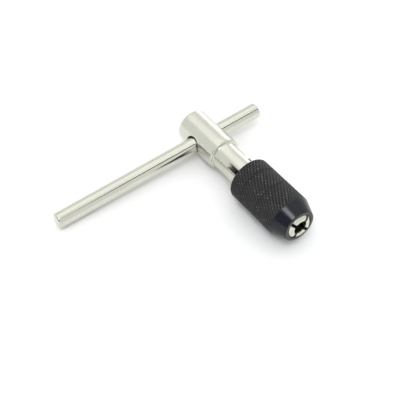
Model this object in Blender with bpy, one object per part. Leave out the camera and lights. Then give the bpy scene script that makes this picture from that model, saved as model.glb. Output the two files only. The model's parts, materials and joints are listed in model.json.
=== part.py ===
"""T-handle tap wrench: a slotted spring-jaw chuck, its knurled closing nut and a sliding cross bar.

Units are metres.  The tool is drawn along its own +X axis, from the rear face of the head (x = 0)
to the chuck's nose.  It then lies on the ground plane z = 0 the way it lies on a bench: on the
nut's rear rim, on the head's rear edge and on the long end of the cross bar.
"""
from math import asin, atan2, cos, pi, radians, sin, sqrt

import bmesh
import bpy
from mathutils import Matrix, Vector

MM = 0.001

# --- driving dimensions ---------------------------------------------------------------------
TOOL_LENGTH = 74.5 * MM
GAP = 0.3 * MM                      # running clearance between neighbouring pieces

HEAD_RADIUS = 7.5 * MM
HEAD_LENGTH = 24.0 * MM
HEAD_REAR_ROUND = 1.0 * MM
HEAD_FRONT_CHAMFER = 0.5 * MM
SHANK_RADIUS = 6.2 * MM
SHOULDER_FILLET = 0.5 * MM

BAR_STATION = 10.8 * MM             # the cross bar's place along the tool
BAR_RADIUS = 3.5 * MM
BAR_CHAMFER = 0.5 * MM
BAR_LONG_END = 76.0 * MM            # from the tool's axis to the bar's far end
BAR_SHORT_END = 27.5 * MM
BAR_HOLE_RADIUS = 4.0 * MM          # a loose hole, so the bar slides by hand
BAR_SINK = BAR_HOLE_RADIUS - BAR_RADIUS - GAP

NUT_RADIUS = 10.0 * MM
NUT_REAR = 41.0 * MM
NUT_REAR_ROUND = 1.0 * MM
NUT_CONE_START = 67.6 * MM
NUT_NOSE_RADIUS = 7.0 * MM
NUT_NOSE_CHAMFER = 0.3 * MM
NUT_THREAD_RADIUS = SHANK_RADIUS + GAP
NUT_CHAMBER_START = 60.0 * MM
NUT_CHAMBER_RADIUS = 6.9 * MM
NUT_LIP_LENGTH = 0.7 * MM
NUT_LIP_RADIUS = 5.75 * MM

RING_FRONT = TOOL_LENGTH - NUT_LIP_LENGTH - GAP
RING_LENGTH = 1.4 * MM
RING_RADIUS = NUT_THREAD_RADIUS - 0.1 * MM      # goes in through the nut's thread
RING_FRONT_BORE = NUT_LIP_RADIUS
RING_TAPER = 0.28                   # growth of the bore's radius per unit of length, rearwards

SLOT_WIDTH = 2.45 * MM
SLOT_ROOT = 32.7 * MM
JAW_COUNT = 4
JAW_FIRST_SLOT = radians(45)        # the slots stand at 45 degrees to the cross bar
JAW_TIP_REACH = 0.8 * MM            # how far the tips stand out of the nut's nose
JAW_TIP_CHAMFER = 1.0 * MM
JAW_GRIP_RADIUS = 3.75 * MM         # the relaxed bore, wide open
JAW_GRIP_START = 61.0 * MM
JAW_CLEARANCE_RADIUS = 4.2 * MM
JAW_TIP_SQUEEZE = 0.8 * MM          # how far the nut has already pressed each tip inwards
BORE_CHAMFER = 0.3 * MM

DETENT_BORE_RADIUS = 2.1 * MM
DETENT_THREAD_START = 25.6 * MM
DETENT_THREAD_RADIUS = 2.6 * MM
BALL_RADIUS = 1.75 * MM
SPRING_RADIUS = 1.3 * MM
SPRING_WIRE_RADIUS = 0.22 * MM
SPRING_TURNS = 6
PLUG_LENGTH = 4.0 * MM
PLUG_SOCKET_RADIUS = 1.15 * MM
PLUG_SOCKET_DEPTH = 2.0 * MM

ROUND_STEPS = 48                    # facets round a turned piece
FILLET_STEPS = 4
SHARP_ANGLE = radians(32)
POLE_RADIUS = 0.000001 * MM         # a profile point nearer the axis than this is a pole

# --- finishes: base colour, roughness, metallic ------------------------------------------------
NICKEL_PLATE = ((0.66, 0.65, 0.60), 0.28, 1.0)
SAW_CUT_STEEL = ((0.52, 0.51, 0.47), 0.38, 1.0)
BLACK_OXIDE = ((0.022, 0.022, 0.025), 0.42, 0.7)
HARDENED_STEEL = ((0.20, 0.19, 0.16), 0.35, 1.0)
BEARING_STEEL = ((0.72, 0.72, 0.74), 0.12, 1.0)
SPRING_STEEL = ((0.35, 0.36, 0.38), 0.30, 1.0)


# --- small helpers -------------------------------------------------------------------------------
def clear_scene():
    for old in list(bpy.data.objects):
        bpy.data.objects.remove(old, do_unlink=True)


def finish_material(name, finish):
    colour, roughness, metallic = finish
    material = bpy.data.materials.new(name)
    material.use_nodes = True
    shader = material.node_tree.nodes["Principled BSDF"]
    shader.inputs["Base Color"].default_value = (*colour, 1.0)
    shader.inputs["Roughness"].default_value = roughness
    shader.inputs["Metallic"].default_value = metallic
    return material


def new_object(name, bm, parent, finish=None):
    mesh = bpy.data.meshes.new(name)
    bmesh.ops.recalc_face_normals(bm, faces=bm.faces)
    bm.to_mesh(mesh)
    bm.free()
    mesh.shade_smooth()
    mesh.set_sharp_from_angle(angle=SHARP_ANGLE)
    piece = bpy.data.objects.new(name, mesh)
    bpy.context.scene.collection.objects.link(piece)
    piece.parent = parent
    if finish:
        mesh.materials.append(finish_material(name, finish))
    return piece


def new_empty(name, parent=None, matrix=None):
    empty = bpy.data.objects.new(name, None)
    bpy.context.scene.collection.objects.link(empty)
    empty.empty_display_size = 5 * MM
    empty.parent = parent
    if matrix is not None:
        empty.matrix_basis = matrix
    return empty


def arc(centre_x, centre_r, radius, start_deg, end_deg, steps=FILLET_STEPS):
    """Profile points (x, r) on a circular arc; 0 degrees is +X and 90 degrees is outwards."""
    points = []
    for i in range(steps + 1):
        turn = radians(start_deg + (end_deg - start_deg) * i / steps)
        points.append((centre_x + radius * cos(turn), centre_r + radius * sin(turn)))
    return points


def turned(profile, steps=ROUND_STEPS, closed=False):
    """Turn a profile of (x, r) points about the X axis.

    An open profile starts and ends on the axis.  A closed one is the section of a ring.
    """
    bm = bmesh.new()
    rings = []
    for x, r in profile:
        if r < POLE_RADIUS:
            rings.append([bm.verts.new((x, 0.0, 0.0))])
            continue
        ring = []
        for i in range(steps):
            turn = 2 * pi * i / steps
            ring.append(bm.verts.new((x, r * sin(turn), r * cos(turn))))
        rings.append(ring)
    pairs = list(zip(rings, rings[1:]))
    if closed:
        pairs.append((rings[-1], rings[0]))
    for first, second in pairs:
        for i in range(steps):
            j = (i + 1) % steps
            if len(first) == 1:
                bm.faces.new((first[0], second[i], second[j]))
            elif len(second) == 1:
                bm.faces.new((first[i], second[0], first[j]))
            else:
                bm.faces.new((first[i], second[i], second[j], first[j]))
    return bm


def along(bm, axis_turn):
    """Turn a piece drawn along X so that it lies along another axis."""
    bmesh.ops.transform(bm, matrix=axis_turn, verts=bm.verts)
    return bm


# --- how the tool lies -----------------------------------------------------------------------------
def lying_pose():
    """Pitch, roll and height that put the nut's rim, the head's edge and the bar's end on z = 0."""
    nut_x = NUT_REAR + NUT_REAR_ROUND
    nut_r = NUT_RADIUS - NUT_REAR_ROUND
    head_x = HEAD_REAR_ROUND
    head_r = HEAD_RADIUS - HEAD_REAR_ROUND
    # with equal rounds, both circles of round centres stand one round above the ground
    pitch = atan2(nut_r - head_r, nut_x - head_x)
    height = head_r * cos(pitch) + HEAD_REAR_ROUND - head_x * sin(pitch)
    roll = 0.0
    reach = BAR_LONG_END - BAR_CHAMFER
    for _ in range(8):
        centre = height + BAR_STATION * sin(pitch) - BAR_SINK * cos(roll) * cos(pitch)
        drop = sin(roll) * cos(pitch)
        roll = asin((centre - BAR_RADIUS * sqrt(1 - drop * drop)) / reach / cos(pitch))
    return pitch, roll, height


def lying_matrix():
    pitch, roll, height = lying_pose()
    turn = Matrix.Rotation(-pitch, 4, "Y") @ Matrix.Rotation(roll, 4, "X")
    return Matrix.Translation((0.0, 0.0, height)) @ turn


# --- pieces --------------------------------------------------------------------------------------------
def build_spindle(parent):
    """Head and shank in one piece, cross-drilled for the bar and bored for the bar's detent."""
    root = SLOT_ROOT - GAP
    shoulder = HEAD_LENGTH
    profile = [(0.0, 0.0)]
    head_round = arc(HEAD_REAR_ROUND, HEAD_RADIUS - HEAD_REAR_ROUND, HEAD_REAR_ROUND, 180, 90)
    profile += head_round
    profile += [(shoulder - HEAD_FRONT_CHAMFER, HEAD_RADIUS), (shoulder, HEAD_RADIUS - HEAD_FRONT_CHAMFER)]
    fillet_centre = SHANK_RADIUS + SHOULDER_FILLET
    profile += arc(shoulder + SHOULDER_FILLET, fillet_centre, SHOULDER_FILLET, 180, 270)
    profile += [(root, SHANK_RADIUS), (root, JAW_CLEARANCE_RADIUS)]
    thread_mouth = DETENT_THREAD_START + PLUG_LENGTH + 2 * GAP
    profile += [(thread_mouth, JAW_CLEARANCE_RADIUS), (thread_mouth, DETENT_THREAD_RADIUS)]
    profile += [(DETENT_THREAD_START, DETENT_THREAD_RADIUS), (DETENT_THREAD_START, DETENT_BORE_RADIUS)]
    profile += [(BAR_STATION, DETENT_BORE_RADIUS), (BAR_STATION, 0.0)]
    spindle = new_object("spindle", turned(profile), parent, NICKEL_PLATE)

    hole = turned([(-2 * HEAD_RADIUS, 0.0), (-2 * HEAD_RADIUS, BAR_HOLE_RADIUS),
                   (2 * HEAD_RADIUS, BAR_HOLE_RADIUS), (2 * HEAD_RADIUS, 0.0)])
    along(hole, Matrix.Rotation(pi / 2, 4, "Z"))
    cutter = new_object("bar_hole_cutter", hole, parent)
    cutter.location = (BAR_STATION, 0.0, 0.0)
    cutter.hide_render = True
    cutter.display_type = "WIRE"
    cut = spindle.modifiers.new("bar_hole", "BOOLEAN")
    cut.operation = "DIFFERENCE"
    cut.solver = "EXACT"
    cut.object = cutter
    return spindle


def jaw_sections():
    """Stations along one relaxed jaw: (x, inner radius, outer radius), from the slot's root out."""
    tip = TOOL_LENGTH + JAW_TIP_REACH
    front = SHANK_RADIUS - JAW_TIP_CHAMFER
    step = JAW_CLEARANCE_RADIUS - JAW_GRIP_RADIUS
    return [
        (SLOT_ROOT, JAW_CLEARANCE_RADIUS, SHANK_RADIUS),
        (JAW_GRIP_START, JAW_CLEARANCE_RADIUS, SHANK_RADIUS),
        (JAW_GRIP_START + step, JAW_GRIP_RADIUS, SHANK_RADIUS),
        (tip - JAW_TIP_CHAMFER, JAW_GRIP_RADIUS, SHANK_RADIUS),
        (tip - BORE_CHAMFER, JAW_GRIP_RADIUS, front + BORE_CHAMFER),
        (tip, JAW_GRIP_RADIUS + BORE_CHAMFER, front),
    ]


def jaw_mesh(arc_steps=12):
    """One quarter of a tube between two saw slots, drawn with its middle on local +Z."""
    half_slot = SLOT_WIDTH / 2
    bm = bmesh.new()
    loops = []
    for x, inner, outer in jaw_sections():
        loop = []
        for radius, direction in ((outer, 1), (inner, -1)):
            # the saw slots are flat-sided and stand 45 degrees to either side of the middle
            half_span = pi / 4 - asin(half_slot / radius)
            for i in range(arc_steps + 1):
                turn = direction * half_span * (2 * i / arc_steps - 1)
                loop.append(bm.verts.new((x, radius * sin(turn), radius * cos(turn))))
        loops.append(loop)
    count = len(loops[0])
    for first, second in zip(loops, loops[1:]):
        for i in range(count):
            j = (i + 1) % count
            bm.faces.new((first[i], second[i], second[j], first[j]))
    for loop in (loops[0], loops[-1]):
        for i in range(arc_steps):
            bm.faces.new((loop[i], loop[i + 1], loop[count - 2 - i], loop[count - 1 - i]))
    return bm


def jaw_pivot_radius():
    return (JAW_CLEARANCE_RADIUS + SHANK_RADIUS) / 2


def build_jaws(parent):
    """Four spring jaws; each pivots at its slot's root, and its pivot stands on that axis."""
    squeeze = asin(JAW_TIP_SQUEEZE / (TOOL_LENGTH + JAW_TIP_REACH - SLOT_ROOT))
    jaws = []
    for index in range(JAW_COUNT):
        middle = JAW_FIRST_SLOT + pi / JAW_COUNT + 2 * pi * index / JAW_COUNT
        place = Matrix.Rotation(-middle, 4, "X")
        place @= Matrix.Translation((SLOT_ROOT, 0.0, jaw_pivot_radius()))
        place @= Matrix.Rotation(squeeze, 4, "Y")
        pivot = new_empty(f"jaw_{index + 1}_pivot", parent, place)
        bm = jaw_mesh()
        offset = Vector((-SLOT_ROOT, 0.0, -jaw_pivot_radius()))
        bmesh.ops.translate(bm, verts=bm.verts, vec=offset)
        jaws.append(new_object(f"jaw_{index + 1}", bm, pivot, SAW_CUT_STEEL))
    return jaws


def build_nut(parent):
    """Knurled closing nut: threaded at the rear, a lip at the nose holds the closing ring."""
    rear_round = arc(NUT_REAR + NUT_REAR_ROUND, NUT_RADIUS - NUT_REAR_ROUND, NUT_REAR_ROUND, 180, 90)
    slope = (NUT_RADIUS - NUT_NOSE_RADIUS - NUT_NOSE_CHAMFER) / (TOOL_LENGTH - NUT_CONE_START)
    lip_rear = TOOL_LENGTH - NUT_LIP_LENGTH
    profile = list(rear_round)
    profile += [(NUT_CONE_START, NUT_RADIUS)]
    profile += [(TOOL_LENGTH - NUT_NOSE_CHAMFER, NUT_NOSE_RADIUS + NUT_NOSE_CHAMFER * (1 + slope))]
    profile += [(TOOL_LENGTH, NUT_NOSE_RADIUS), (TOOL_LENGTH, NUT_LIP_RADIUS)]
    profile += [(lip_rear, NUT_LIP_RADIUS), (lip_rear, NUT_CHAMBER_RADIUS)]
    profile += [(NUT_CHAMBER_START, NUT_CHAMBER_RADIUS), (NUT_CHAMBER_START, NUT_THREAD_RADIUS)]
    chamfer = NUT_CHAMBER_RADIUS - NUT_THREAD_RADIUS
    profile += [(NUT_REAR + chamfer, NUT_THREAD_RADIUS), (NUT_REAR, NUT_CHAMBER_RADIUS)]
    return new_object("chuck_nut", turned(profile, closed=True), parent, BLACK_OXIDE)


def build_closing_ring(parent):
    """Hardened taper ring in the nut's nose; it slides with the nut and presses on the jaws."""
    rear = RING_FRONT - RING_LENGTH
    rear_bore = RING_FRONT_BORE + RING_TAPER * RING_LENGTH
    profile = [(rear, RING_RADIUS), (RING_FRONT, RING_RADIUS)]
    profile += [(RING_FRONT, RING_FRONT_BORE), (rear, rear_bore)]
    return new_object("closing_ring", turned(profile, closed=True), parent, HARDENED_STEEL)


def build_bar(parent):
    """Plain sliding cross bar with chamfered ends, its pivot on its own axis."""
    pivot = new_empty("bar_pivot", parent, Matrix.Translation((BAR_STATION, 0.0, -BAR_SINK)))
    inner = BAR_RADIUS - BAR_CHAMFER
    profile = [(-BAR_LONG_END, 0.0), (-BAR_LONG_END, inner)]
    profile += [(-BAR_LONG_END + BAR_CHAMFER, BAR_RADIUS), (BAR_SHORT_END - BAR_CHAMFER, BAR_RADIUS)]
    profile += [(BAR_SHORT_END, inner), (BAR_SHORT_END, 0.0)]
    bm = along(turned(profile), Matrix.Rotation(pi / 2, 4, "Z"))
    return new_object("cross_bar", bm, pivot, NICKEL_PLATE)


def ball_station():
    return BAR_STATION + BAR_RADIUS + GAP + BALL_RADIUS


def build_detent(parent):
    """Ball, spring and screwed plug in the shank's bore; they keep the bar from sliding out."""
    ball_x = ball_station()
    ball = turned(arc(ball_x, 0.0, BALL_RADIUS, 180, 0, steps=12), steps=24)
    new_object("detent_ball", ball, parent, BEARING_STEEL)
    build_spring(parent, ball_x + BALL_RADIUS + GAP, DETENT_THREAD_START - GAP)

    front = DETENT_THREAD_START + GAP + PLUG_LENGTH
    outer = DETENT_THREAD_RADIUS - GAP
    profile = [(DETENT_THREAD_START + GAP, 0.0), (DETENT_THREAD_START + GAP, outer), (front, outer)]
    profile += [(front, PLUG_SOCKET_RADIUS)]
    profile += [(front - PLUG_SOCKET_DEPTH, PLUG_SOCKET_RADIUS), (front - PLUG_SOCKET_DEPTH, 0.0)]
    new_object("detent_plug", turned(profile, steps=24), parent, BEARING_STEEL)


def build_spring(parent, start, end, steps_per_turn=14, wire_sides=6):
    """Compression spring: a round wire carried along a helix, its two ends capped."""
    length = end - start - 2 * SPRING_WIRE_RADIUS
    total = SPRING_TURNS * steps_per_turn
    rise = length / (2 * pi * SPRING_TURNS)
    slope = atan2(rise, SPRING_RADIUS)
    bm = bmesh.new()
    loops = []
    for i in range(total + 1):
        turn = 2 * pi * i / steps_per_turn
        centre = Vector((start + SPRING_WIRE_RADIUS + rise * turn, SPRING_RADIUS * cos(turn),
                         SPRING_RADIUS * sin(turn)))
        outwards = Vector((0.0, cos(turn), sin(turn)))
        run = Vector((sin(slope), -cos(slope) * sin(turn), cos(slope) * cos(turn)))
        across = run.cross(outwards)
        loop = []
        for k in range(wire_sides):
            around = 2 * pi * k / wire_sides
            place = centre + SPRING_WIRE_RADIUS * (cos(around) * outwards + sin(around) * across)
            loop.append(bm.verts.new(place))
        loops.append(loop)
    for first, second in zip(loops, loops[1:]):
        for k in range(wire_sides):
            m = (k + 1) % wire_sides
            bm.faces.new((first[k], first[m], second[m], second[k]))
    bm.faces.new(loops[0])
    bm.faces.new(loops[-1])
    return new_object("detent_spring", bm, parent, SPRING_STEEL)


def centre_on_footprint(root):
    """Slide the tool over the ground until its bounding box is centred on the origin."""
    bpy.context.view_layer.update()
    depsgraph = bpy.context.evaluated_depsgraph_get()
    corners = []
    for piece in bpy.data.objects:
        if piece.type != "MESH" or piece.hide_render:
            continue
        solid = piece.evaluated_get(depsgraph)
        corners += [solid.matrix_world @ v.co for v in solid.data.vertices]
    for axis in (0, 1):
        values = [c[axis] for c in corners]
        root.location[axis] -= (min(values) + max(values)) / 2
    bpy.context.view_layer.update()


def main():
    clear_scene()
    tool = new_empty("tool", matrix=lying_matrix())
    build_spindle(tool)
    build_jaws(tool)
    build_nut(tool)
    build_closing_ring(tool)
    build_bar(tool)
    build_detent(tool)
    centre_on_footprint(tool)


main()
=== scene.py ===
import json
import math

import bmesh
import bpy
import numpy as np
from bpy.props import FloatProperty, FloatVectorProperty, IntProperty, PointerProperty
from mathutils import Euler, Matrix, Vector


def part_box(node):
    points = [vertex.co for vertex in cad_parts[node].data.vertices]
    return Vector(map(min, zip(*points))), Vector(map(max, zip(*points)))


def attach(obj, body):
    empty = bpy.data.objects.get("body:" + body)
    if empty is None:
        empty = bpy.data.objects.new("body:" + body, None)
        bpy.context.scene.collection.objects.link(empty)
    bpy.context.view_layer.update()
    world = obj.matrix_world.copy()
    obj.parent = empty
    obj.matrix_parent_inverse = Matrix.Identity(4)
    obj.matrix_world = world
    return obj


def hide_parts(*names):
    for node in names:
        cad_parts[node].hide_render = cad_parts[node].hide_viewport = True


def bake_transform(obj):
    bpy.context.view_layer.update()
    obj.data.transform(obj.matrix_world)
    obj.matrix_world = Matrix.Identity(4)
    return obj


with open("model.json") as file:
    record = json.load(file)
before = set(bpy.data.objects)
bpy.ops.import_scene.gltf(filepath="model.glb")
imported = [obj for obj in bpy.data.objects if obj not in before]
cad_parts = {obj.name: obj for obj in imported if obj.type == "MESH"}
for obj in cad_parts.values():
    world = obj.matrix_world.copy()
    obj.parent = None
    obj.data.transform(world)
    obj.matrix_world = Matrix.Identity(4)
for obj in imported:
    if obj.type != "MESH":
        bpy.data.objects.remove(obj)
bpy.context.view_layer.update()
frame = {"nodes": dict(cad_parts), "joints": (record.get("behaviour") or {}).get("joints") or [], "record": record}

bl_info = {
    "name": "Tap Wrench",
    "version": (1, 0, 0),
    "blender": (4, 5, 0),
    "location": "View3D > Sidebar > Tap Wrench",
    "description": "Builds a T-handle tap wrench with a knurled spring-jaw chuck",
    "category": "Add Mesh",
}

# Looks of a T-handle tap wrench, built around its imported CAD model.
#
# Every surface is worked out in the tool's own coordinates, in metres: x runs along the tool from the
# head's rear face to the chuck's nose, y along the cross bar towards its short end, z away from the
# bench.  TOOL_AXES and HEAD_REAR carry those coordinates to the place where the CAD tool lies.
MM = 0.001
INSET = 0.012 * MM   # how far the outermost surfaces stay inside the plain solids
TAU = 2 * math.pi
JOINTS = {joint["name"]: joint for joint in frame["joints"]}
MOUNTS = {mount["name"]: mount for mount in frame["record"]["mounts"]}

# rows of TOOL_AXES are the tool's x, y and z directions in the row frame
ALONG = np.array(JOINTS["nut_turn"]["axis"], float)
ACROSS = np.array(JOINTS["bar_slide"]["axis"], float)
TOOL_AXES = np.stack([ALONG, ACROSS, np.cross(ALONG, ACROSS)])
HEAD_REAR = np.array(MOUNTS["head_rear_face"]["pos_m"], float)
NOSE_STATION = float((np.array(MOUNTS["nose_face"]["pos_m"]) - HEAD_REAR) @ ALONG)


def to_row_frame(points):
    """Tool coordinates to the row frame: the head's rear face plus each coordinate along its axis."""
    return np.asarray(points) @ TOOL_AXES + HEAD_REAR


# --- sizes and colours that a user would change ---------------------------------------------------
class TapWrenchSpindle(bpy.types.PropertyGroup):
    """Head and shank."""
    head_radius: FloatProperty(name="Head radius", description="Radius of the cross-drilled head",
                               default=7.5 * MM, unit="LENGTH")
    head_length: FloatProperty(name="Head length", description="Rear face to shoulder",
                               default=24.0 * MM, unit="LENGTH")
    rear_round: FloatProperty(name="Rear round", description="Round on the head's rear edge",
                              default=1.0 * MM, unit="LENGTH")
    shank_radius: FloatProperty(name="Shank radius", description="Radius of the shank and fingers",
                                default=6.2 * MM, unit="LENGTH")
    bore_radius: FloatProperty(name="Bore radius", description="Clearance bore between the fingers",
                               default=4.2 * MM, unit="LENGTH")
    hole_radius: FloatProperty(name="Bar hole radius", description="Radius of the cross hole",
                               default=4.0 * MM, unit="LENGTH")
    slot_width: FloatProperty(name="Slot width", description="Width of the four saw slots",
                              default=2.45 * MM, unit="LENGTH")
    slot_root: FloatProperty(name="Slot root", description="Where the slots end, along the tool",
                             default=32.7 * MM, unit="LENGTH")
    plating: FloatVectorProperty(name="Plating", description="Colour of the nickel plating",
                                 default=(0.655, 0.655, 0.585), subtype="COLOR", min=0, max=1)


class TapWrenchBar(bpy.types.PropertyGroup):
    """Sliding cross bar."""
    radius: FloatProperty(name="Radius", description="Radius of the bar", default=3.5 * MM,
                          unit="LENGTH")
    chamfer: FloatProperty(name="Chamfer", description="Chamfer on both ends", default=0.5 * MM,
                           unit="LENGTH")


class TapWrenchNut(bpy.types.PropertyGroup):
    """Knurled closing nut."""
    radius: FloatProperty(name="Radius", description="Outer radius", default=10.0 * MM,
                          unit="LENGTH")
    rear: FloatProperty(name="Rear station", description="Rear rim's place along the tool",
                        default=41.0 * MM, unit="LENGTH")
    cone_start: FloatProperty(name="Cone start", description="Where the smooth cone begins",
                              default=67.6 * MM, unit="LENGTH")
    nose_radius: FloatProperty(name="Nose radius", description="Outer radius of the nose face",
                               default=7.0 * MM, unit="LENGTH")
    lip_radius: FloatProperty(name="Lip radius", description="Bore of the nose lip",
                              default=5.75 * MM, unit="LENGTH")
    knurl_count: IntProperty(name="Knurl count", description="Knurl ridges round the nut",
                             default=40, min=12)
    knurl_angle: FloatProperty(name="Knurl angle", description="Angle of the ridges to the axis",
                               default=math.radians(34), subtype="ANGLE")
    knurl_depth: FloatProperty(name="Knurl depth", description="Depth of the grooves",
                               default=0.46 * MM, unit="LENGTH")
    oxide: FloatVectorProperty(name="Black oxide", description="Colour of the blackened steel",
                               default=(0.0125, 0.013, 0.0135), subtype="COLOR", min=0, max=1)
    # painted light: the nose face is coloured a lighter grey than the black cone, standing in for the light it
    # catches
    nose_face_painted_light: FloatVectorProperty(name="Nose grey", description="Colour of the nose face",
                                   default=(0.060, 0.062, 0.055), subtype="COLOR", min=0, max=1)


class TapWrenchJaws(bpy.types.PropertyGroup):
    """Four spring jaws."""
    squeeze: FloatProperty(name="Squeeze", description="How far each tip is pressed inwards",
                           default=0.8 * MM, unit="LENGTH")
    grip_radius: FloatProperty(name="Grip radius", description="Relaxed radius of the grip bore",
                               default=3.75 * MM, unit="LENGTH")
    grip_start: FloatProperty(name="Grip start", description="Where the grip bore begins",
                              default=61.0 * MM, unit="LENGTH")
    thread_start: FloatProperty(name="Thread start", description="Where the thread begins",
                                default=43.5 * MM, unit="LENGTH")
    thread_end: FloatProperty(name="Thread end", description="Where the thread ends",
                              default=58.5 * MM, unit="LENGTH")
    tip_reach: FloatProperty(name="Tip reach", description="How far the tips stand out",
                             default=0.8 * MM, unit="LENGTH")
    tip_chamfer: FloatProperty(name="Tip chamfer", description="Chamfer round the tips",
                               default=1.0 * MM, unit="LENGTH")
    thread_pitch: FloatProperty(name="Thread pitch", description="Travel of the nut in one turn",
                                default=1.0 * MM, unit="LENGTH")


class TapWrenchStage(bpy.types.PropertyGroup):
    """Floor, lights and camera."""
    azimuth: FloatProperty(name="Azimuth", description="Camera's bearing round the tool",
                           default=math.radians(52.36), subtype="ANGLE")
    elevation: FloatProperty(name="Elevation", description="Camera's height above the bench",
                             default=math.radians(50.36), subtype="ANGLE")
    roll: FloatProperty(name="Roll", description="Turn of the camera about its line of sight",
                        default=math.radians(2.48), subtype="ANGLE")
    distance: FloatProperty(name="Distance", description="Camera to aim point", default=0.4116,
                            unit="LENGTH")
    aim: FloatVectorProperty(name="Aim point", description="Where the camera looks",
                             default=(0.00150, 0.00047, 0.00965), subtype="TRANSLATION")
    lens: FloatProperty(name="Lens", description="Focal length in millimetres", default=90.0)
    tent_colour: FloatVectorProperty(name="Tent", description="Colour of the studio tent",
                                     default=(0.93, 0.935, 0.92), subtype="COLOR", min=0, max=1)
    floor_colour: FloatVectorProperty(name="Floor", description="Colour of the bench",
                                      default=(0.96, 0.96, 0.955), subtype="COLOR", min=0, max=1)


class TapWrenchSettings(bpy.types.PropertyGroup):
    """All the settings of the tap wrench."""
    spindle: PointerProperty(type=TapWrenchSpindle)
    bar: PointerProperty(type=TapWrenchBar)
    nut: PointerProperty(type=TapWrenchNut)
    jaws: PointerProperty(type=TapWrenchJaws)
    stage: PointerProperty(type=TapWrenchStage)


def settings():
    return bpy.context.scene.tap_wrench


# --- surfaces -----------------------------------------------------------------------------------------
def angles(count):
    """Evenly spaced turns from the y axis towards z, the last one meeting the first."""
    return np.linspace(0.0, TAU, count + 1)


def rounded(corners, radii, steps=5):
    """A line through corners (x, r), each corner replaced by an arc of the given radius.

    The arc touches both sides at the distance radius * tan(half the turn) from the corner.
    """
    corners = np.asarray(corners, float)
    points = [corners[0]]
    for before, corner, after, radius in zip(corners, corners[1:], corners[2:], radii):
        to_before = (before - corner) / np.linalg.norm(before - corner)
        to_after = (after - corner) / np.linalg.norm(after - corner)
        opening = math.acos(float(np.clip(to_before @ to_after, -1, 1)))
        if radius <= 0 or opening > math.pi - 1e-4:
            points.append(corner)
            continue
        bisector = (to_before + to_after) / np.linalg.norm(to_before + to_after)
        centre = corner + bisector * radius / math.sin(opening / 2)
        first = corner + to_before * radius / math.tan(opening / 2) - centre
        last = corner + to_after * radius / math.tan(opening / 2) - centre
        share = np.linspace(0.0, 1.0, steps + 1)[:, None]
        turn = math.pi - opening
        arc = (np.sin((1 - share) * turn) * first + np.sin(share * turn) * last) / math.sin(turn)
        points.extend(centre + arc)
    points.append(corners[-1])
    return np.array(points)


def turned(profile, turns):
    """Profile points (x, r) swept round the x axis: (x, r cos turn, r sin turn)."""
    profile = np.asarray(profile, float)
    x = np.broadcast_to(profile[:, :1], (len(profile), len(turns)))
    y = profile[:, 1:] * np.cos(turns)
    z = profile[:, 1:] * np.sin(turns)
    return np.stack([x, y, z], axis=-1)


def between(inner, outer, shares):
    """Rows of points from one closed line to another, each a straight blend of the two."""
    return inner[None] + shares[:, None, None] * (outer - inner)[None]


def mesh_piece(name, grids, body, node, material, values=None, sharp=40.0):
    """Turns grids of points (rows, columns, 3) into one welded piece that replaces a CAD node.

    Neighbouring points of a grid make its faces; grids that share an edge are welded along it.
    The piece rides on the given body; with no body, it is left unattached.
    values holds one number per point of each grid, kept as the attribute "crest".
    """
    points, faces, crests = [], [], []
    start = 0
    for index, grid in enumerate(grids):
        rows, columns = grid.shape[:2]
        corner = start + np.arange(rows * columns).reshape(rows, columns)
        quads = np.stack([corner[:-1, :-1], corner[1:, :-1], corner[1:, 1:], corner[:-1, 1:]], -1)
        points.append(grid.reshape(-1, 3))
        faces.append(quads.reshape(-1, 4))
        crest = np.zeros(rows * columns) if values is None else values[index].reshape(-1)
        crests.append(crest)
        start += rows * columns
    points = to_row_frame(np.concatenate(points))
    faces = np.concatenate(faces)
    mesh = bpy.data.meshes.new(name)
    mesh.vertices.add(len(points))
    mesh.vertices.foreach_set("co", points.astype(np.float32).ravel())
    mesh.loops.add(faces.size)
    mesh.loops.foreach_set("vertex_index", faces.astype(np.int32).ravel())
    mesh.polygons.add(len(faces))
    mesh.polygons.foreach_set("loop_start", np.arange(0, faces.size, 4, dtype=np.int32))
    mesh.update(calc_edges=True)
    if values is not None:
        layer = mesh.attributes.new("crest", "FLOAT", "POINT")
        layer.data.foreach_set("value", np.concatenate(crests).astype(np.float32))
    weld(mesh)
    mesh.shade_smooth()
    mesh.set_sharp_from_angle(angle=math.radians(sharp))
    mesh.materials.append(material)
    piece = bpy.data.objects.new(name, mesh)
    bpy.context.scene.collection.objects.link(piece)
    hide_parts(node)
    if body:
        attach(piece, body)
    return piece


def weld(mesh, distance=0.0005 * MM):
    """Joins points that lie together, drops faces without area and points all faces outwards."""
    bm = bmesh.new()
    bm.from_mesh(mesh)
    bmesh.ops.remove_doubles(bm, verts=bm.verts, dist=distance)
    bmesh.ops.dissolve_degenerate(bm, edges=bm.edges, dist=distance / 10)
    bmesh.ops.recalc_face_normals(bm, faces=bm.faces)
    bm.to_mesh(mesh)
    bm.free()


# --- shader helpers -----------------------------------------------------------------------------------
class Value:
    """A shader socket that can be used in Python arithmetic; each operation adds a Math node."""

    def __init__(self, graph, socket):
        self.graph = graph
        self.socket = socket

    def __add__(self, other):
        return self.graph.maths("ADD", self, other)

    def __sub__(self, other):
        return self.graph.maths("SUBTRACT", self, other)

    def __rsub__(self, other):
        return self.graph.maths("SUBTRACT", other, self)

    def __mul__(self, other):
        return self.graph.maths("MULTIPLY", self, other)

    def __truediv__(self, other):
        return self.graph.maths("DIVIDE", self, other)

    def __rtruediv__(self, other):
        return self.graph.maths("DIVIDE", other, self)

    def __neg__(self):
        return self.graph.maths("MULTIPLY", self, -1.0)

    def above(self, edge, softness):
        """0 below the edge, 1 above it, with a straight ramp of that softness between."""
        return self.graph.maths("ADD", (self - edge) / softness + 0.5, 0.0, clamp=True)

    __radd__ = __add__
    __rmul__ = __mul__


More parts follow.
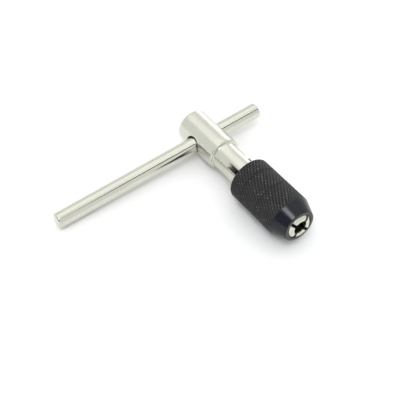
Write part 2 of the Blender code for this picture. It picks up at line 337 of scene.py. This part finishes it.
class Graph:
    """A node tree being built, and the shader node at its end."""

    def __init__(self, tree, shader):
        self.tree = tree
        self.shader = tree.nodes[shader]

    def node(self, kind, options=None, inputs=None, output=0):
        """Adds a node: its options are set first, then each input gets a number or a link."""
        made = self.tree.nodes.new(kind)
        for option, setting in (options or {}).items():
            setattr(made, option, setting)
        for key, given in (inputs or {}).items():
            if isinstance(given, Value):
                self.tree.links.new(given.socket, made.inputs[key])
            else:
                made.inputs[key].default_value = given
        return Value(self, made.outputs[output])

    def feed(self, socket, given):
        self.tree.links.new(given.socket, self.shader.inputs[socket])

    def maths(self, operation, first, second, clamp=False):
        options = {"operation": operation, "use_clamp": clamp}
        return self.node("ShaderNodeMath", options, {0: first, 1: second})

    def mix(self, share, first, second):
        """A colour: first where share is 0, second where it is 1."""
        inputs = {0: share, 6: first, 7: second}
        return self.node("ShaderNodeMix", {"data_type": "RGBA"}, inputs, output=2)


class Finish(Graph):
    """A material being built round a Principled shader."""

    def __init__(self, name, **uniform):
        self.material = bpy.data.materials.new(name)
        self.material.use_nodes = True
        super().__init__(self.material.node_tree, "Principled BSDF")
        for socket, number in uniform.items():
            self.shader.inputs[socket.replace("_", " ")].default_value = number

    def place(self):
        """The point's place in tool coordinates, in metres, as a vector."""
        turn = Matrix(TOOL_AXES.tolist())
        shift = turn @ Vector(-HEAD_REAR)
        where = self.node("ShaderNodeTexCoord", output="Object")
        inputs = {"Vector": where, "Location": shift, "Rotation": turn.to_euler("XYZ")}
        return self.node("ShaderNodeMapping", {"vector_type": "POINT"}, inputs)

    def along(self, vector):
        """The x of a vector."""
        return self.node("ShaderNodeSeparateXYZ", inputs={"Vector": vector}, output="X")

    def stretch(self, vector, scale):
        return self.node("ShaderNodeVectorMath", {"operation": "MULTIPLY"}, {0: vector, 1: scale})

    def noise(self, vector, scale, detail=2.0, roughness=0.5):
        inputs = {"Vector": vector, "Scale": scale, "Detail": detail, "Roughness": roughness}
        return self.node("ShaderNodeTexNoise", inputs=inputs)

    def bump(self, height, depth):
        self.feed("Normal", self.node("ShaderNodeBump", inputs={"Height": height, "Distance": depth}))


def rgba(colour, gain=1.0):
    return (colour[0] * gain, colour[1] * gain, colour[2] * gain, 1.0)


# --- finishes -------------------------------------------------------------------------------------------
def plated_steel(name, grain, tint, roughness):
    """Bright nickel plating; grain stretches the fine marks that grinding or turning left."""
    finish = Finish(name, Metallic=1.0)
    place = finish.place()
    clouds = finish.noise(place, 160.0, 4.0)
    marks = finish.noise(finish.stretch(place, grain), 1.0, 3.0, 0.6)
    specks = finish.noise(place, 1500.0, 2.0).above(0.72, 0.05)
    tone = clouds * 0.6 + marks * 0.4
    colour = finish.mix(tone.above(0.5, 0.6), rgba(tint, 0.95), rgba(tint, 1.04))
    colour = finish.mix(specks * 0.35, colour, rgba(tint, 0.55))
    finish.feed("Base Color", colour)
    finish.feed("Roughness", clouds * 0.06 + marks * 0.06 + (roughness - 0.06) + specks * 0.15)
    finish.bump(marks * 0.7 + clouds * 0.3, 0.0015 * MM)
    return finish.material


def blackened_steel(oxide, nose_face_painted_light, cone_start, nose):
    """Black oxide: dull on the knurl, with painted shade in the grooves, painted light on the crests and painted
    glints on the highest crests; glossy on the cone; painted light on the nose face, which is a lighter grey.
    """
    finish = Finish("black_oxide", Metallic=0.0, Specular_IOR_Level=0.35)
    place = finish.place()
    x = finish.along(place)
    crest = finish.node("ShaderNodeAttribute", {"attribute_name": "crest"}, output="Fac")
    cone = x.above(cone_start + 0.1 * MM, 0.3 * MM)
    face = x.above(nose - 0.05 * MM, 0.06 * MM)
    clouds = finish.noise(place, 220.0, 4.0)
    patches = finish.noise(place, 420.0, 1.0)
    # painted glints: pale grey flecks on the highest crests of the knurl stand in for the light those crests catch
    crest_painted_glint = crest.above(0.86, 0.10) * patches.above(0.60, 0.10) * (1.0 - cone)
    rings = finish.noise(finish.stretch(place, (9000.0, 200.0, 200.0)), 1.0, 2.0)
    # painted shade and light: the grooves are darkened to a tenth of the oxide colour and the crests lightened to
    # 2.2 times it, standing in for the light and shade across the knurl
    knurl_painted_shade_and_light = finish.mix(crest.above(0.45, 0.6), rgba(oxide, 0.1), rgba(oxide, 2.2))
    cone_tone = finish.mix(clouds, rgba((0.005, 0.006, 0.011)), rgba((0.009, 0.010, 0.017)))
    tone = finish.mix(cone, knurl_painted_shade_and_light, cone_tone)
    tone = finish.mix(crest_painted_glint, tone, rgba((0.50, 0.50, 0.48)))
    # painted light: the nose face gets a lighter grey than the cone and knurl, standing in for the light it
    # catches
    tone = finish.mix(face, tone, finish.mix(clouds, rgba(nose_face_painted_light, 0.85), rgba(nose_face_painted_light, 1.2)))
    finish.feed("Base Color", tone)
    gloss = 0.50 + clouds * 0.12 - cone * 0.36 + face * 0.30
    finish.feed("Roughness", gloss)
    finish.bump(rings * cone + clouds * 0.4, 0.006 * MM)
    return finish.material


def tempered_steel():
    """Ground and hardened: straw-brown with fine rings."""
    finish = Finish("hardened_steel", Metallic=1.0)
    place = finish.place()
    rings = finish.noise(finish.stretch(place, (7000.0, 300.0, 300.0)), 1.0, 2.0)
    clouds = finish.noise(place, 300.0, 3.0)
    finish.feed("Base Color", finish.mix(clouds, rgba((0.20, 0.165, 0.11)), rgba((0.34, 0.30, 0.22))))
    finish.feed("Roughness", rings * 0.2 + 0.22)
    finish.bump(rings, 0.005 * MM)
    return finish.material


def bright_steel(name, tint, roughness):
    """Plain bright steel of the small pieces inside."""
    finish = Finish(name, Metallic=1.0)
    place = finish.place()
    clouds = finish.noise(place, 900.0, 3.0)
    finish.feed("Base Color", finish.mix(clouds, rgba(tint, 0.85), rgba(tint, 1.1)))
    finish.feed("Roughness", clouds * 0.12 + roughness)
    finish.bump(clouds, 0.002 * MM)
    return finish.material


def bench_finish(tint):
    """Matt pale paper of the bench."""
    finish = Finish("bench_paper", Roughness=0.9)
    clouds = finish.noise(finish.node("ShaderNodeTexCoord", output="Object"), 6.0, 3.0)
    finish.feed("Base Color", finish.mix(clouds, rgba(tint, 0.995), rgba(tint, 1.005)))
    return finish.material


# --- the spindle -----------------------------------------------------------------------------------------
SLOT_COLUMNS = 8
FINGER_COLUMNS = 40
PATCH_START, PATCH_END = 2.0 * MM, 20.0 * MM   # the head's skin round the cross hole
HOLE_ROUND = 0.35 * MM         # round on the cross hole's rim
SHOULDER_CHAMFER = 0.5 * MM
PLAIN_RUN = 3.0 * MM           # shank behind the slots' ends that still has slot columns
BUTT = 0.3 * MM                # how far behind the slots' ends the fingers are set
SLOT_RAMP = 0.9                # forward run of a slot's end for each unit of depth
BORE_FLOOR = 30.2 * MM         # end of the wide bore between the fingers
PLUG_SEAT = 25.6 * MM
PLUG_BORE_RADIUS = 2.6 * MM
SPRING_BORE_END = 15.2 * MM
SPRING_BORE_RADIUS = 2.1 * MM


def slotted_turns(half_slot, radius):
    """Turns round the tool whose columns follow the flat sides of the four slots at a radius.

    A slot's side stands half_slot from the slot's middle plane, so its turn is asin(half_slot / r).
    """
    edge = math.asin(half_slot / radius)
    quarter = math.pi / 2
    slot = np.arcsin(np.linspace(-1, 1, SLOT_COLUMNS + 1) * math.sin(edge))
    finger = np.linspace(edge, quarter - edge, FINGER_COLUMNS + 1)
    lists = []
    for index in range(4):
        middle = quarter / 2 + quarter * index
        lists += [middle + slot, middle + finger]
    lists.append(np.array([quarter / 2 - edge + TAU]))
    return np.concatenate(lists)


def in_slot_column():
    """1 for columns that belong to a slot, 0 for columns of a finger, in slotted_turns' order."""
    one = np.concatenate([np.ones(SLOT_COLUMNS + 1), np.zeros(FINGER_COLUMNS + 1)])
    return np.concatenate([np.tile(one, 4), [1.0]])


def head_side(side, turns, first, last, centre, radius, hole, round_edge):
    """Half of the head's skin with its round hole, and the rounded rim, for side +1 or -1.

    In the unrolled skin (distance along x, distance round the head) rows run in straight lines
    from the hole's rim to the border of the half.  The rim then turns into the hole by an arc.
    """
    wanted = np.sort(np.unique(np.round(np.mod(turns + math.pi / 2, TAU), 9)))
    lean = wanted[(wanted >= -1e-9) & (wanted <= math.pi + 1e-9)] - math.pi / 2
    lean = np.unique(np.concatenate([[-math.pi / 2], lean, [math.pi / 2]]).round(9))
    along = np.linspace(first, last, 25)
    border = np.concatenate([
        np.stack([np.full(len(lean), last), lean], -1)[:-1],
        np.stack([along[::-1], np.full(len(along), math.pi / 2)], -1)[:-1],
        np.stack([np.full(len(lean), first), lean[::-1]], -1)[:-1],
        np.stack([along, np.full(len(along), -math.pi / 2)], -1)])
    bearing = np.arctan2(radius * border[:, 1], border[:, 0] - centre)
    wide = hole + round_edge
    start = np.stack([centre + wide * np.cos(bearing),
                      np.arcsin(wide * np.sin(bearing) / radius)], -1)
    rows = between(start, border, np.linspace(0, 1, 15) ** 1.3)
    skin = np.stack([rows[..., 0], side * radius * np.cos(rows[..., 1]),
                     radius * np.sin(rows[..., 1])], -1)
    fall = np.linspace(0, math.pi / 2, 6)[:, None]
    reach = hole + round_edge * (1 - np.sin(fall))
    lift = reach * np.sin(bearing)
    height = np.sqrt(radius ** 2 - lift ** 2) - round_edge * (1 - np.cos(fall))
    rim = np.stack([centre + reach * np.cos(bearing), side * height, lift], -1)
    return skin, rim


def build_spindle():
    size = settings().spindle
    half = size.slot_width / 2
    radius, shank, bore = size.head_radius - INSET, size.shank_radius, size.bore_radius
    low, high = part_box("cross_bar")
    middle = (np.array(low) + np.array(high)) / 2 - HEAD_REAR
    centre = float(middle @ TOOL_AXES[0])
    columns = slotted_turns(half, shank)

    grids = []
    for side in (1, -1):
        grids += head_side(side, columns, PATCH_START, PATCH_END, centre, radius,
                           size.hole_radius, HOLE_ROUND)
    rims = [grids[1][-1], grids[3][-1]]
    share = np.linspace(0, 1, 9)[:, None, None]
    grids.append(rims[0] * (1 - share) + rims[1] * share)

    rear = rounded([(0, 0), (0, radius), (PATCH_START, radius)], [size.rear_round], 8)
    rear[:, 0] = np.maximum(rear[:, 0], INSET)
    inner_face = np.array([[INSET, 0.0], [INSET, radius * 0.4]])
    grids.append(turned(np.concatenate([inner_face, rear[1:]]), columns))
    length = size.head_length
    straight_start = size.slot_root - PLAIN_RUN
    corners = [(PATCH_END, radius), (length - SHOULDER_CHAMFER, radius),
               (length, radius - SHOULDER_CHAMFER), (length, shank), (straight_start, shank)]
    shoulder = rounded(corners, [0.15 * MM, 0.15 * MM, 0.5 * MM], 4)
    grids.append(turned(shoulder, columns))

    # the slotted front end: fingers stand on a flat face, slots run out up a ramp
    slotted = in_slot_column()
    butt = size.slot_root - BUTT
    radii = np.linspace(shank, bore, 6)
    face_rows = []
    for r in radii:
        turns = slotted_turns(half, r)
        x = np.where(slotted > 0, size.slot_root + (shank - r) * SLOT_RAMP, butt)
        face_rows.append(np.stack([x, r * np.cos(turns), r * np.sin(turns)], -1))
    face = np.stack(face_rows)
    straight = turned([(straight_start, shank)], columns)
    grids.append(np.concatenate([straight, face[:1]]))
    grids.append(face)
    inside_turns = slotted_turns(half, bore)
    cavity = [(BORE_FLOOR, bore), (BORE_FLOOR, PLUG_BORE_RADIUS), (PLUG_SEAT, PLUG_BORE_RADIUS),
              (PLUG_SEAT, SPRING_BORE_RADIUS), (SPRING_BORE_END, SPRING_BORE_RADIUS),
              (SPRING_BORE_END, 0.0)]
    cavity_grid = turned(cavity, inside_turns)
    grids.append(np.concatenate([face[-1:], cavity_grid]))
    steel = plated_steel("nickel_turned", (5200.0, 240.0, 240.0), size.plating, 0.24)
    return mesh_piece("spindle_skin", grids, "spindle", "spindle", steel)


# --- the cross bar -------------------------------------------------------------------------------------
def build_bar():
    size = settings().bar
    low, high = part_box("cross_bar")
    middle = (np.array(low) + np.array(high)) / 2
    centre = TOOL_AXES @ (middle - HEAD_REAR)
    length = (high.y - low.y - 2 * size.radius * abs(TOOL_AXES[2][1])) / TOOL_AXES[1][1]
    half = length / 2
    corners = [(-half, 0), (-half, size.radius - size.chamfer),
               (-half + size.chamfer, size.radius), (half - size.chamfer, size.radius),
               (half, size.radius - size.chamfer), (half, 0)]
    profile = rounded(corners, [0.12 * MM, 0.35 * MM, 0.35 * MM, 0.12 * MM], 5)
    grid = turned(profile, angles(96))
    # the profile runs along x; the bar runs along y
    grid = np.stack([centre[0] - grid[..., 1], centre[1] + grid[..., 0], centre[2] + grid[..., 2]],
                    -1)
    plating = settings().spindle.plating
    steel = plated_steel("nickel_drawn", (2600.0, 60.0, 2600.0), plating, 0.13)
    return mesh_piece("cross_bar_skin", [grid], "cross_bar", "cross_bar", steel)


# --- the nut ---------------------------------------------------------------------------------------------
REAR_ROUND = 1.0 * MM
KNURL_START = 0.9 * MM          # from the rear rim
GROOVE_COLUMNS = 10             # points across one knurl groove, round the nut
GROOVE_ROWS = 11                # and along it
SHALLOW_GROOVE = 0.45           # height left in the grooves of the shallower family
KNURL_OVERRUN = 1.5 * MM        # rows past the start of the cone, where the knurl runs out
PLAIN_GROOVES = (7.1 * MM, 16.7 * MM)   # from the rear rim
PLAIN_GROOVE_HALF = 0.30 * MM
CONE_DROP = 0.02 * MM           # how far the cone starts below the knurl's crests
NOSE_ROUND = 0.3 * MM
LIP_LENGTH = 0.7 * MM
RELIEF_RADIUS = 6.9 * MM        # bore between the lip and the thread
MOUTH_RADIUS = 7.1 * MM
NUT_THREAD_END = 60.0 * MM
NUT_THREAD_RADIUS = 6.5 * MM
NUT_THREAD_DEPTH = 0.30 * MM
NUT_THREAD_ROW = 0.25 * MM


def tooth(phase):
    """A triangle wave: 0 on the grooves at whole numbers, 1 on the crests between them."""
    return 1 - np.abs(2 * np.mod(phase, 1.0) - 1)


def knurl(x, turns, size):
    """Height of the knurl from 0 in the grooves to 1 on the crests.

    Two families of helical grooves cross; each family's phase counts grooves round the nut plus
    or minus the lead along it, and the deeper of the two grooves wins at every point.
    """
    lead = math.tan(size.knurl_angle) / (TAU * size.radius)
    right = tooth(size.knurl_count * (turns / TAU - x * lead))
    left = tooth(size.knurl_count * (turns / TAU + x * lead))
    return np.minimum(right, SHALLOW_GROOVE + (1 - SHALLOW_GROOVE) * left)


def nut_rows(size):
    """Stations along the nut, close together on the knurl and at the edges."""
    pitch_x = TAU * size.radius / size.knurl_count / math.tan(size.knurl_angle)
    first = size.rear + KNURL_START
    knurled = np.arange(first, size.cone_start + KNURL_OVERRUN, pitch_x / GROOVE_ROWS)
    round_off = size.rear + KNURL_START * (1 - np.cos(np.linspace(0.02, math.pi / 2, 9)[:-1]))
    return np.concatenate([round_off, knurled])


def build_nut():
    size = settings().nut
    nose = NOSE_STATION
    turns = angles(size.knurl_count * GROOVE_COLUMNS)
    x = nut_rows(size)[:, None]
    slope = (size.radius - size.nose_radius - NOSE_ROUND) / (nose - size.cone_start)
    height = knurl(x, turns[None], size)
    for groove in PLAIN_GROOVES:
        ring = np.clip(np.abs(x - size.rear - groove) / PLAIN_GROOVE_HALF, 0, 1)
        height = np.minimum(height, -0.4 + 1.4 * ring)
    outer = size.radius - INSET
    knurled = outer - size.knurl_depth * (1 - height)
    cone = size.radius - CONE_DROP - (x - size.cone_start) * slope
    back = np.clip((x - size.rear) / REAR_ROUND, 0, 1)
    rear_round = outer - REAR_ROUND + np.sqrt(np.clip(1 - (1 - back) ** 2, 0, 1)) * REAR_ROUND
    r = np.minimum(np.minimum(knurled, cone), rear_round)
    crest = np.where(r >= knurled - 1e-9, height, 0.5)
    wide = np.broadcast_to(x, r.shape)
    body = np.stack([wide, r * np.cos(turns), r * np.sin(turns)], -1)

    front_corners = [(x[-1, 0], cone[-1, 0]),
                     (nose - NOSE_ROUND, size.nose_radius + NOSE_ROUND * (1 + slope)),
                     (nose, size.nose_radius), (nose, size.lip_radius),
                     (nose - LIP_LENGTH, size.lip_radius), (nose - LIP_LENGTH, RELIEF_RADIUS),
                     (NUT_THREAD_END, RELIEF_RADIUS), (NUT_THREAD_END, NUT_THREAD_RADIUS)]
    front = rounded(front_corners, [0.25 * MM, 0.12 * MM, 0.10 * MM, 0, 0, 0], 4)
    thread_x = np.arange(NUT_THREAD_END, size.rear + 1.2 * MM, -NUT_THREAD_ROW)
    mouth = np.array([(size.rear + 0.6 * MM, NUT_THREAD_RADIUS), (size.rear, MOUTH_RADIUS)])
    phase = thread_x[:, None] / settings().jaws.thread_pitch - turns[None] / TAU
    fade = np.clip((NUT_THREAD_END - thread_x) / MM, 0, 1)
    fade = fade * np.clip((thread_x - size.rear - MM) / MM, 0, 1)
    thread_r = NUT_THREAD_RADIUS + NUT_THREAD_DEPTH * (1 - tooth(phase)) * fade[:, None]
    thread = np.stack([np.broadcast_to(thread_x[:, None], thread_r.shape),
                       thread_r * np.cos(turns), thread_r * np.sin(turns)], -1)
    closing = np.concatenate([thread[-1:], turned(mouth, turns), body[:1]])
    nose_grid = np.concatenate([body[-1:], turned(front[1:], turns)])
    joint = np.concatenate([nose_grid[-1:], thread[:1]])
    grids = [body, nose_grid, joint, thread, closing]
    values = [crest] + [np.full(g.shape[:2], 0.5) for g in grids[1:]]
    steel = blackened_steel(size.oxide, size.nose_face_painted_light, size.cone_start, nose)
    return mesh_piece("chuck_nut_skin", grids, "chuck_nut", "chuck_nut", steel,
                      values, sharp=55.0)


RING_SET_BACK = 1.0 * MM        # behind the nose face
RING_LENGTH = 1.4 * MM
RING_RADIUS = 6.4 * MM
RING_TAPER = 0.28               # widening of the bore for each unit of length


def build_ring():
    lip = settings().nut.lip_radius
    front = NOSE_STATION - RING_SET_BACK
    rear = front - RING_LENGTH
    corners = [(rear, RING_RADIUS), (front, RING_RADIUS), (front, lip),
               (rear, lip + RING_TAPER * RING_LENGTH)]
    loop = rounded(corners + corners[:2], [0.15 * MM, 0.12 * MM, 0.03 * MM, 0.03 * MM], 3)
    loop = np.concatenate([loop[1:-1], loop[1:2]])
    grid = turned(loop, angles(128))
    return mesh_piece("closing_ring_skin", [grid], "closing_ring", "closing_ring",
                      tempered_steel())


# --- the jaws --------------------------------------------------------------------------------------------
GRIP_STEP = 0.55 * MM           # length of the step from the clearance bore to the grip bore
FINGER_THREAD_DEPTH = 0.42 * MM
BEND_LENGTH = 6.0 * MM          # first stretch of a finger, where its bend builds up


def finger_stations(jaws, root):
    """Stations along a finger: close together on the thread, sparse elsewhere."""
    plain = np.linspace(root, jaws.thread_start, 14)[:-1]
    threaded = np.arange(jaws.thread_start, jaws.thread_end, jaws.thread_pitch / 10)
    grip = [jaws.thread_end + 0.4 * MM, jaws.grip_start, jaws.grip_start + GRIP_STEP, 66 * MM, 70 * MM]
    return np.concatenate([plain, threaded, grip])


def bent(points, x0, lever, slope_at_tip):
    """Bends a finger inwards: flat at its root, then straight after the first few millimetres."""
    run = np.clip(points[..., 0] - x0, 0, None)
    slope = slope_at_tip * np.clip(run / BEND_LENGTH, 0, 1)
    drop = slope_at_tip * np.where(run < BEND_LENGTH, run ** 2 / (2 * BEND_LENGTH),
                                  run - BEND_LENGTH / 2)
    height = points[..., 2]
    x = points[..., 0] + slope * (height - lever)
    return np.stack([x, points[..., 1], height - drop], -1)


def build_jaws():
    size, jaws = settings().spindle, settings().jaws
    half, shank, bore = size.slot_width / 2, size.shank_radius, size.bore_radius
    root = size.slot_root - BUTT
    tip = NOSE_STATION + jaws.tip_reach - INSET
    x = finger_stations(jaws, root)
    grip = np.clip((x - jaws.grip_start) / GRIP_STEP, 0, 1)
    inner = bore + (jaws.grip_radius - bore) * grip
    front = shank - jaws.tip_chamfer
    ends = [(tip - 1.15 * MM, jaws.grip_radius, shank),
            (tip - 1.0 * MM, jaws.grip_radius, shank - 0.02 * MM),
            (tip - 0.85 * MM, jaws.grip_radius, shank - 0.15 * MM),
            (tip - 0.35 * MM, jaws.grip_radius, front + 0.35 * MM),
            (tip - 0.28 * MM, jaws.grip_radius + 0.04 * MM, front + 0.28 * MM),
            (tip - 0.10 * MM, jaws.grip_radius + 0.20 * MM, front + 0.08 * MM),
            (tip, jaws.grip_radius + 0.34 * MM, front - 0.05 * MM)]
    x = np.concatenate([x, [e[0] for e in ends]])
    inner = np.concatenate([inner, [e[1] for e in ends]])
    outer = np.concatenate([np.full(len(x) - len(ends), shank), [e[2] for e in ends]])
    arc = np.linspace(-1, 1, 29)
    slope = math.asin(jaws.squeeze / (tip - size.slot_root))
    steel = plated_steel("nickel_jaw", (4200.0, 260.0, 260.0), size.plating, 0.22)
    for index in range(4):
        name = f"jaw_{index + 1}"
        middle = math.pi / 2 - (math.pi / 2) * (index + 1)   # turn from y towards z
        outer_span = math.pi / 4 - np.arcsin(half / outer)
        inner_span = math.pi / 4 - np.arcsin(half / inner)
        outer_turn = outer_span[:, None] * arc
        inner_turn = inner_span[:, None] * -arc
        phase = x[:, None] / jaws.thread_pitch - (middle - outer_turn) / TAU
        fade = np.clip((x - jaws.thread_start) / MM, 0, 1) * np.clip((jaws.thread_end - x) / MM, 0, 1)
        cut = FINGER_THREAD_DEPTH * (1 - tooth(phase)) * fade[:, None]
        r_out = outer[:, None] - cut
        top = np.stack([np.broadcast_to(x[:, None], r_out.shape), r_out * np.sin(outer_turn),
                        r_out * np.cos(outer_turn)], -1)
        low = np.stack([np.broadcast_to(x[:, None], inner_turn.shape),
                        inner[:, None] * np.sin(inner_turn), inner[:, None] * np.cos(inner_turn)], -1)
        loop = np.concatenate([top, low, top[:, :1]], axis=1)
        share = np.linspace(0, 1, 4)[:, None, None]
        caps = [top[row] * (1 - share) + low[row][::-1] * share for row in (0, -1)]
        grids = []
        for grid in [loop] + caps:
            grid = bent(grid, root, (shank + bore) / 2, slope)
            # local z points out along the finger's middle, local y round the tool
            out, side = grid[..., 2], grid[..., 1]
            y = out * math.cos(middle) + side * math.sin(middle)
            z = out * math.sin(middle) - side * math.cos(middle)
            grids.append(np.stack([grid[..., 0], y, z], -1))
        piece = mesh_piece(name + "_finger", grids, None, name, steel, sharp=35.0)
        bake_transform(piece)


# --- inside ----------------------------------------------------------------------------------------------
def build_detent():
    shiny = bright_steel("bearing_steel", (0.72, 0.72, 0.74), 0.08)
    dark = bright_steel("plug_steel", (0.16, 0.16, 0.17), 0.35)
    wire = bright_steel("spring_steel", (0.38, 0.39, 0.41), 0.25)
    for node, material in (("detent_ball", shiny), ("detent_plug", dark), ("detent_spring", wire)):
        for material_slot in frame["nodes"][node].material_slots:
            material_slot.material = material


# --- the stage -------------------------------------------------------------------------------------------
BENCH_HALF = 2.0
BENCH_POINTS = 9
BENCH_GAP = 0.02 * MM           # so that the tool never lies in the bench's own surface


def add_light(name, place, size, power):
    """A rectangular area light that faces the middle of the bench."""
    lamp = bpy.data.lights.new(name, "AREA")
    lamp.shape = "RECTANGLE"
    lamp.size, lamp.size_y = size
    lamp.energy = power
    holder = bpy.data.objects.new(name, lamp)
    holder.location = place
    holder.rotation_euler = Vector(place).to_track_quat("Z", "Y").to_euler()
    bpy.context.scene.collection.objects.link(holder)


def build_floor(stage):
    """A bench top: a flat sheet a little below the lowest point of the tool."""
    span = np.linspace(-BENCH_HALF, BENCH_HALF, BENCH_POINTS)
    x, y = np.meshgrid(span, span)
    points = np.stack([x, y, np.full_like(x, -BENCH_GAP)], -1).reshape(-1, 3)
    corner = np.arange(BENCH_POINTS ** 2).reshape(BENCH_POINTS, BENCH_POINTS)
    quads = np.stack([corner[:-1, :-1], corner[:-1, 1:], corner[1:, 1:], corner[1:, :-1]], -1)
    mesh = bpy.data.meshes.new("bench")
    mesh.from_pydata(points.tolist(), [], quads.reshape(-1, 4).tolist())
    mesh.materials.append(bench_finish(stage.floor_colour))
    bench = bpy.data.objects.new("bench", mesh)
    bpy.context.scene.collection.objects.link(bench)


def leaning(sky, direction, low, high):
    """1 where a direction leans towards the given one by more than high, 0 below low."""
    where = sky.node("ShaderNodeTexCoord", output="Generated")
    inputs = {0: where, 1: Vector(direction).normalized()}
    lean = sky.node("ShaderNodeVectorMath", {"operation": "DOT_PRODUCT"}, inputs, output="Value")
    inputs = {"Value": lean, "From Min": low, "From Max": high}
    options = {"interpolation_type": "SMOOTHSTEP"}
    return sky.node("ShaderNodeMapRange", options, inputs, output="Result")


def band(sky, first, last, first_soft, last_soft):
    """1 between two tilts, measured from overhead towards the nose about the y axis."""
    after = leaning(sky, (-math.sin(first), 0, math.cos(first)), -first_soft, first_soft)
    before = leaning(sky, (math.sin(last), 0, -math.cos(last)), -last_soft, last_soft)
    return after * before


def build_world(tent_colour):
    """A pale tent with a seam and a glow beside it, a window, a dark front and a lamp."""
    world = bpy.data.worlds.new("studio")
    world.use_nodes = True
    bpy.context.scene.world = world
    sky = Graph(world.node_tree, "Background")
    seam = math.radians(58)
    over = leaning(sky, (0, 1, 0), 0.05, 0.25) * leaning(sky, (0, -1, 0), -0.80, -0.62)
    patches = (
        (band(sky, seam - 0.12, seam + 0.10, 0.03, 0.02) * over, (0.02, 0.02, 0.015, 1)),
        (band(sky, seam + 0.12, seam + 0.24, 0.02, 0.02) * over, (1.9, 1.9, 1.85, 1)),
        (leaning(sky, (-0.58, 0.80, 0.16), 0.955, 0.985), (2.0, 2.0, 1.95, 1)),
        (leaning(sky, (0.28, -0.86, 0.42), 0.80, 0.93), (0.35, 0.35, 0.36, 1)),
        (leaning(sky, (0.27, -0.32, 0.906), 0.972, 0.992), (9.0, 9.1, 9.6, 1)),
    )
    colour = rgba(tent_colour)
    for share, tint in patches:
        colour = sky.mix(share, colour, tint)
    sky.feed("Color", colour)


def build_stage():
    stage = settings().stage
    back = Vector((math.sin(stage.azimuth) * math.cos(stage.elevation),
                   -math.cos(stage.azimuth) * math.cos(stage.elevation),
                   math.sin(stage.elevation)))
    camera = bpy.data.cameras.new("camera")
    camera.lens = stage.lens
    camera.sensor_width = 36.0
    camera.clip_start, camera.clip_end = 0.01, 20.0
    holder = bpy.data.objects.new("camera", camera)
    level = back.to_track_quat("Z", "Y").to_matrix()
    holder.rotation_euler = (level @ Euler((0, 0, stage.roll)).to_matrix()).to_euler()
    holder.location = Vector(stage.aim) + back * stage.distance
    bpy.context.scene.collection.objects.link(holder)
    bpy.context.scene.camera = holder
    build_floor(stage)
    build_world(stage.tent_colour)
    add_light("overhead_softbox", (-0.35, 0.10, 0.95), (1.1, 0.9), 1.2)
    bpy.context.scene.view_settings.view_transform = "Standard"


# --- operators and panel -----------------------------------------------------------------------------------
class TAPWRENCH_OT_stage(bpy.types.Operator):
    """Make the bench, the lights and the camera"""
    bl_idname = "tapwrench.stage"
    bl_label = "Stage"

    def execute(self, context):
        build_stage()
        return {"FINISHED"}


class TAPWRENCH_OT_spindle(bpy.types.Operator):
    """Make the head and shank"""
    bl_idname = "tapwrench.spindle"
    bl_label = "Spindle"

    def execute(self, context):
        build_spindle()
        return {"FINISHED"}


class TAPWRENCH_OT_bar(bpy.types.Operator):
    """Make the sliding cross bar"""
    bl_idname = "tapwrench.bar"
    bl_label = "Cross bar"

    def execute(self, context):
        build_bar()
        return {"FINISHED"}


class TAPWRENCH_OT_jaws(bpy.types.Operator):
    """Make the four spring jaws"""
    bl_idname = "tapwrench.jaws"
    bl_label = "Jaws"

    def execute(self, context):
        build_jaws()
        return {"FINISHED"}


class TAPWRENCH_OT_nut(bpy.types.Operator):
    """Make the knurled closing nut"""
    bl_idname = "tapwrench.nut"
    bl_label = "Nut"

    def execute(self, context):
        build_nut()
        return {"FINISHED"}


class TAPWRENCH_OT_ring(bpy.types.Operator):
    """Make the hardened closing ring"""
    bl_idname = "tapwrench.ring"
    bl_label = "Closing ring"

    def execute(self, context):
        build_ring()
        return {"FINISHED"}


class TAPWRENCH_OT_detent(bpy.types.Operator):
    """Give the ball, spring and plug inside their finishes"""
    bl_idname = "tapwrench.detent"
    bl_label = "Detent"

    def execute(self, context):
        build_detent()
        return {"FINISHED"}


OPERATORS = (TAPWRENCH_OT_stage, TAPWRENCH_OT_spindle, TAPWRENCH_OT_bar, TAPWRENCH_OT_jaws,
             TAPWRENCH_OT_nut, TAPWRENCH_OT_ring, TAPWRENCH_OT_detent)


class TAPWRENCH_PT_panel(bpy.types.Panel):
    """Lists the pieces of the tap wrench"""
    bl_idname = "TAPWRENCH_PT_panel"
    bl_label = "Tap Wrench"
    bl_space_type = "VIEW_3D"
    bl_region_type = "UI"
    bl_category = "Tap Wrench"

    def draw(self, context):
        for operator in OPERATORS:
            self.layout.operator(operator.bl_idname)


CLASSES = (TapWrenchSpindle, TapWrenchBar, TapWrenchNut, TapWrenchJaws, TapWrenchStage,
           TapWrenchSettings) + OPERATORS + (TAPWRENCH_PT_panel,)


def register():
    for made in CLASSES:
        bpy.utils.register_class(made)
    bpy.types.Scene.tap_wrench = PointerProperty(type=TapWrenchSettings)


def unregister():
    del bpy.types.Scene.tap_wrench
    for made in reversed(CLASSES):
        bpy.utils.unregister_class(made)


def main():
    register()
    bpy.ops.tapwrench.stage()
    bpy.ops.tapwrench.spindle()
    bpy.ops.tapwrench.bar()
    bpy.ops.tapwrench.jaws()
    bpy.ops.tapwrench.nut()
    bpy.ops.tapwrench.ring()
    bpy.ops.tapwrench.detent()


if __name__ == "__main__":
    main()
